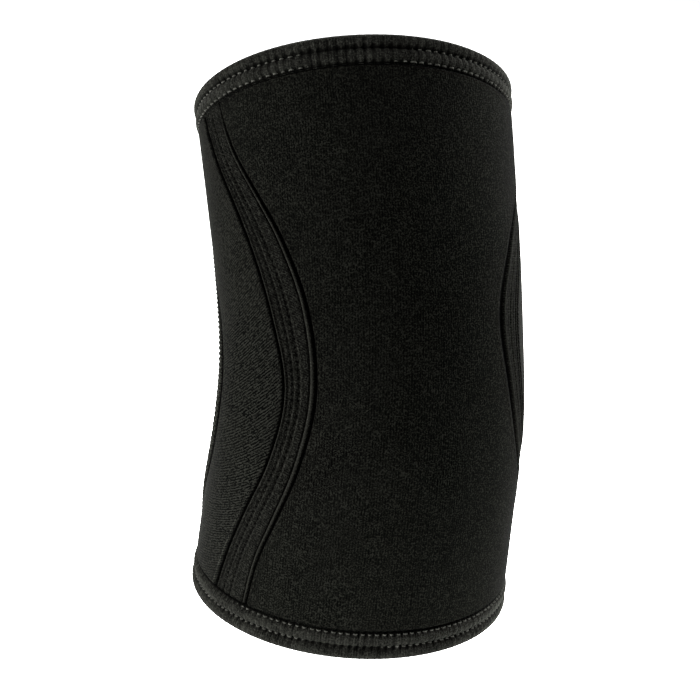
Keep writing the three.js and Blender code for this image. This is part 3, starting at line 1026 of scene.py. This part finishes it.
def front_knit_material():
    """Fleecy face over the point of the elbow."""
    material, tree = new_material("front_knit")
    speckle = place_group(tree, FLEECE_SPECKLE, Grain=0.42, Clump=2.2)
    ribs = place_group(tree, KNIT_COURSES, Course=0.9, Wale=0.8, Slant=0.0, Unevenness=0.6, Upright=0.9)
    patches = place_group(tree, NAP_PATCHES, Patch=16.0)
    knit = blend_values(tree, speckle["Shade"], ribs["Shade"], share=0.2)
    shade = blend_values(tree, knit, patches["Shade"], share=0.05)
    colours = ((0.0001, 0.0001, 0.0001), (0.0115, 0.0119, 0.0097))
    sheen = (0.003, 0.5, OLIVE_GREY)
    cloth_material(
        tree, shade, speckle["Height"], colours, crest=0.6, relief=0.3, roughness=(0.8, 0.95), sheen=sheen,
        depth=0.25,
    )
    return material


def side_rib_material(name, light, crest, depth):
    """Fine ribbed knit of the side and crook panels."""
    material, tree = new_material(name)
    flecks = place_group(tree, KNIT_FLECKS, Course=0.82, Grain=0.42, Length=1.4, Row=0.36)
    patches = place_group(tree, NAP_PATCHES, Patch=12.0)
    shade = blend_values(tree, flecks["Shade"], patches["Shade"], share=0.05)
    colours = ((0.0002, 0.0002, 0.0002), light)
    sheen = (0.02, 0.3, OLIVE_GREY)
    cloth_material(
        tree, shade, flecks["Height"], colours, crest=crest, relief=0.3, roughness=(0.7, 0.9), sheen=sheen,
        depth=depth,
    )
    return material


def seam_strip_material():
    """Smooth knit of the seam strips."""
    material, tree = new_material("seam_strip")
    courses = place_group(tree, KNIT_COURSES, Course=0.8, Wale=0.5, Slant=0.3, Unevenness=0.8)
    speckle = place_group(tree, FLEECE_SPECKLE, Grain=0.40, Clump=1.6)
    shade = blend_values(tree, speckle["Shade"], courses["Shade"], share=0.22)
    height = blend_values(tree, speckle["Height"], courses["Height"], share=0.25)
    colours = ((0.0006, 0.0006, 0.0005), (0.0142, 0.0145, 0.0122))
    sheen = (0.004, 0.45, OLIVE_GREY)
    # The strips' raised cord gets an even painted highlight
    cloth_material(
        tree, shade, height, colours, crest=0.6, relief=0.2, roughness=(0.75, 0.92), sheen=sheen,
        raised_highlight=0.42,
    )
    return material


def hem_binding_material():
    """Stretch binding of the hems, fuzzy on its rolls."""
    material, tree = new_material("hem_binding")
    speckle = place_group(tree, FLEECE_SPECKLE, Grain=0.40, Clump=1.8)
    courses = place_group(tree, KNIT_COURSES, Course=0.8, Wale=0.85, Slant=0.0, Unevenness=1.2, Upright=0.8)
    patches = place_group(tree, NAP_PATCHES, Patch=6.0)
    mixed = blend_values(tree, speckle["Shade"], courses["Shade"], share=0.25)
    shade = blend_values(tree, mixed, patches["Shade"], share=0.2)
    colours = ((0.0006, 0.0006, 0.0005), (0.0245, 0.025, 0.0212))
    sheen = (0.07, 0.35, OLIVE_GREY)
    cloth_material(
        tree, shade, speckle["Height"], colours, crest=0.8, relief=0.25, roughness=(0.75, 0.92), sheen=sheen,
    )
    return material


def lining_material():
    """Plain jersey on the inside."""
    material, tree = new_material("lining_jersey")
    courses = place_group(tree, KNIT_COURSES, Course=0.8, Wale=0.9, Slant=0.0, Unevenness=0.3)
    speckle = place_group(tree, FLEECE_SPECKLE, Grain=0.7, Clump=3.0)
    shade = blend_values(tree, courses["Shade"], speckle["Shade"], share=0.4)
    colours = ((0.0015, 0.0015, 0.0014), (0.012, 0.012, 0.0112))
    sheen = (0.02, 0.4, OLIVE_GREY)
    cloth_material(
        tree, shade, courses["Height"], colours, crest=0.5, relief=0.15, roughness=(0.7, 0.9), sheen=sheen,
    )
    return material


def thread_material(name, dark, light):
    """Twisted sewing thread."""
    material, tree = new_material(name)
    speckle = place_group(tree, FLEECE_SPECKLE, Grain=0.35, Clump=1.2)
    sheen = (0.06, 0.4, OLIVE_GREY)
    cloth_material(
        tree, speckle["Shade"], speckle["Height"], (dark, light), crest=0.0, relief=0.08,
        roughness=(0.5, 0.75), sheen=sheen,
    )
    return material


def floor_material():
    """Pale matt light table with a faint unevenness, brightest under the sleeve."""
    material, tree = new_material("studio_floor")
    patches = place_group(tree, NAP_PATCHES, Patch=300.0)
    shader = add_node(tree, "ShaderNodeBsdfPrincipled")
    ramp = add_node(tree, "ShaderNodeMix", data_type="RGBA")
    for end, grey in zip("AB", TABLE_GREYS):
        ramp.inputs[end].default_value = (grey, grey, grey, 1)
    tree.links.new(patches["Shade"], ramp.inputs["Factor"])
    tree.links.new(ramp.outputs["Result"], shader.inputs["Base Color"])
    shader.inputs["Roughness"].default_value = 0.9
    shader.inputs["Specular IOR Level"].default_value = 0.1
    place = add_node(tree, "ShaderNodeTexCoord").outputs["Object"]
    distance = add_node(tree, "ShaderNodeVectorMath", operation="LENGTH")
    tree.links.new(place, distance.inputs[0])
    glow = add_node(tree, "ShaderNodeMapRange", interpolation_type="SMOOTHSTEP")
    glow.inputs["From Min"].default_value = GLOW_REACH[0]
    glow.inputs["From Max"].default_value = GLOW_REACH[1]
    glow.inputs["To Min"].default_value = TABLE_GLOW[0]
    glow.inputs["To Max"].default_value = TABLE_GLOW[1]
    tree.links.new(distance.outputs["Value"], glow.inputs["Value"])
    tree.links.new(glow.outputs["Result"], shader.inputs["Emission Color"])
    shader.inputs["Emission Strength"].default_value = 1.0
    output = add_node(tree, "ShaderNodeOutputMaterial")
    tree.links.new(shader.outputs["BSDF"], output.inputs["Surface"])
    return material


# The sleeve's pieces


def dress(piece, node=None):
    """Puts a piece on the sleeve's body and hides the solid that it stands for."""
    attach(piece, "root")
    if node:
        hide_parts(node)


def sewn_panels(finishes):
    """Front panel, seam strips, side panels and crook panel."""
    panels = (
        ("front_panel", "front_knit", ("left_front", "right_front"), front_drop, PLAIN_STEPS),
        ("seam_strip_left", "seam_strip", ("left_strip", "left_front"),
         lambda welt, cord, along: strip_drop(cord, welt, along, LEFT_CORD_START), FINE_STEPS),
        ("seam_strip_right", "seam_strip", ("right_front", "right_strip"),
         lambda cord, welt, along: strip_drop(cord, welt, along, RIGHT_CORD_START), FINE_STEPS),
        ("side_panel_left", "side_rib", ("left_crook", "left_strip"),
         lambda crook, strip, along: side_drop(strip, crook, along), PLAIN_STEPS),
        ("side_panel_right", "side_rib", ("right_strip", "right_crook"), side_drop, PLAIN_STEPS),
        ("crook_panel", "crook_rib", ("right_crook", "left_crook"), crook_drop, PLAIN_STEPS),
    )
    made = {}
    for node, slot, seams, drop, steps in panels:
        cloths = [finishes[slot], finishes["lining"]]
        piece, cut = panel_piece(f"{node}_cloth", seams, drop, cloths, steps, slot == "side_rib")
        dress(piece, node)
        made[node] = (piece, cut)
    return made


def build_sleeve():
    """Panels, hems and their stitches of the sleeve."""
    finishes = {
        "front_knit": front_knit_material(),
        "seam_strip": seam_strip_material(),
        # The crook panel gets a stronger painted highlight on its raised band and full painted shade already
        # in shallow hollows, so its ditch shows as a dark line
        "side_rib": side_rib_material("side_rib", (0.0130, 0.0133, 0.0111), crest=1.5, depth=0.45),
        "crook_rib": side_rib_material("crook_rib", (0.0125, 0.0128, 0.0106), crest=2.0, depth=0.2),
        "hem_binding": hem_binding_material(),
        "lining": lining_material(),
        "hem_thread": thread_material("hem_thread", (0.040, 0.040, 0.035), (0.100, 0.100, 0.088)),
        "crook_thread": thread_material("crook_thread", (0.015, 0.015, 0.0133), (0.060, 0.060, 0.053)),
        "strip_thread": thread_material("strip_thread", (0.001, 0.001, 0.0009), (0.012, 0.012, 0.010)),
    }
    panels = sewn_panels(finishes)
    threads = {}
    for side, seams, cord_first in (
        ("left", ("left_strip", "left_front"), False), ("right", ("right_front", "right_strip"), True),
    ):
        thread = strip_thread(f"strip_stitches_{side}", seams, cord_first, finishes["strip_thread"])
        dress(thread)
        threads[f"seam_strip_{side}"] = [thread]
    for side, inwards in (("left", -1), ("right", 1)):
        thread = crook_thread(f"crook_stitches_{side}", f"{side}_crook", inwards, finishes["crook_thread"])
        dress(thread)
        threads.setdefault("crook_panel", []).append(thread)
    for values in HEM_TABLE:
        hem = dict(zip(HEM_COLUMNS, values))
        cloth, flat = hem_piece(hem, [finishes["hem_binding"]])
        dress(cloth, hem["node"])
        thread = hem_thread(hem, finishes["hem_thread"])
        dress(thread)


# The studio, in metres. The backdrop is pale to the eye, but gives little light.

ROOM_LIGHT = 0.03
BACKDROP_SEEN = 1.0
FLOOR_REACH = 12.0
AIM = (0, 0, 0.09)
LIGHT_COLUMNS = ("name", "place", "aim", "size", "watts")
LIGHT_TABLE = (
    ("left_softbox", (-0.80, -0.12, 0.14), AIM, (0.32, 0.4), 14.5),
    ("upper_right_softbox", (0.60, 0.15, 0.70), AIM, (0.5, 0.5), 14),
    ("right_softbox", (0.52, 0.13, 0.15), (0, -0.03, 0.04), (0.4, 0.2), 4),
    ("back_softbox", (0, 0.95, 0.75), AIM, (0.9, 0.6), 6),
)
MIDDLE_ALONG = 84.0
CAMERA_DISTANCE = 0.52
CAMERA_SIDE = math.radians(18.5)
CAMERA_RISE = math.radians(21.5)
CAMERA_LENS = 84.45
CAMERA_SENSOR = 36.0
AIM_LEFT = 0.00696
AIM_DOWN = 0.0020


def build_camera():
    """The photograph's view: from the left of the front, looking down on the standing sleeve."""
    middle = Vector(wall_points(MIDDLE_ALONG, 0.0, -half_width_at(MIDDLE_ALONG) * DEPTH_RATIO))
    side, rise = CAMERA_SIDE, CAMERA_RISE
    back = Vector((-math.sin(side), -math.cos(side) * math.cos(rise), math.cos(side) * math.sin(rise)))
    up = Vector((0, math.sin(rise), math.cos(rise)))
    right = up.cross(back)
    place = middle + back * CAMERA_DISTANCE
    aim = middle - right * AIM_LEFT - up * AIM_DOWN
    axis_back = (place - aim).normalized()
    axis_right = up.cross(axis_back).normalized()
    axis_up = axis_back.cross(axis_right)
    turn = Matrix((axis_right, axis_up, axis_back)).transposed().to_4x4()
    lens = bpy.data.cameras.new("photo_camera")
    lens.lens = CAMERA_LENS
    lens.sensor_width = CAMERA_SENSOR
    lens.clip_start = 0.01
    camera = bpy.data.objects.new("photo_camera", lens)
    camera.matrix_world = Matrix.Translation(place) @ turn
    bpy.context.collection.objects.link(camera)
    bpy.context.scene.camera = camera


def soft_light(name, place, aim, size, watts):
    """A soft rectangular light."""
    light = bpy.data.lights.new(name, "AREA")
    light.shape = "RECTANGLE"
    light.size, light.size_y = size
    light.energy = watts
    lamp = bpy.data.objects.new(name, light)
    lamp.location = place
    lamp.rotation_euler = (Vector(place) - Vector(aim)).to_track_quat("Z", "Y").to_euler()
    bpy.context.collection.objects.link(lamp)


def build_studio():
    """A pale floor, soft lights and a pale backdrop."""
    reach = FLOOR_REACH
    corners = [(-reach, -reach, 0), (reach, -reach, 0), (reach, reach, 0), (-reach, reach, 0)]
    mesh = bpy.data.meshes.new("studio_floor")
    mesh.from_pydata(corners, [], [(0, 1, 2, 3)])
    mesh.materials.append(floor_material())
    floor = bpy.data.objects.new("studio_floor", mesh)
    bpy.context.collection.objects.link(floor)
    for values in LIGHT_TABLE:
        soft_light(**dict(zip(LIGHT_COLUMNS, values)))
    world = bpy.data.worlds.new("studio")
    world.use_nodes = True
    tree = world.node_tree
    background = tree.nodes["Background"]
    background.inputs["Color"].default_value = (0.95, 0.95, 0.95, 1)
    seen = add_node(tree, "ShaderNodeLightPath").outputs["Is Camera Ray"]
    strength = math_node(tree, "MULTIPLY_ADD", seen, BACKDROP_SEEN - ROOM_LIGHT, ROOM_LIGHT)
    tree.links.new(strength, background.inputs["Strength"])
    bpy.context.scene.world = world
    bpy.context.scene.view_settings.view_transform = "Standard"


build_sleeve()
build_camera()
build_studio()
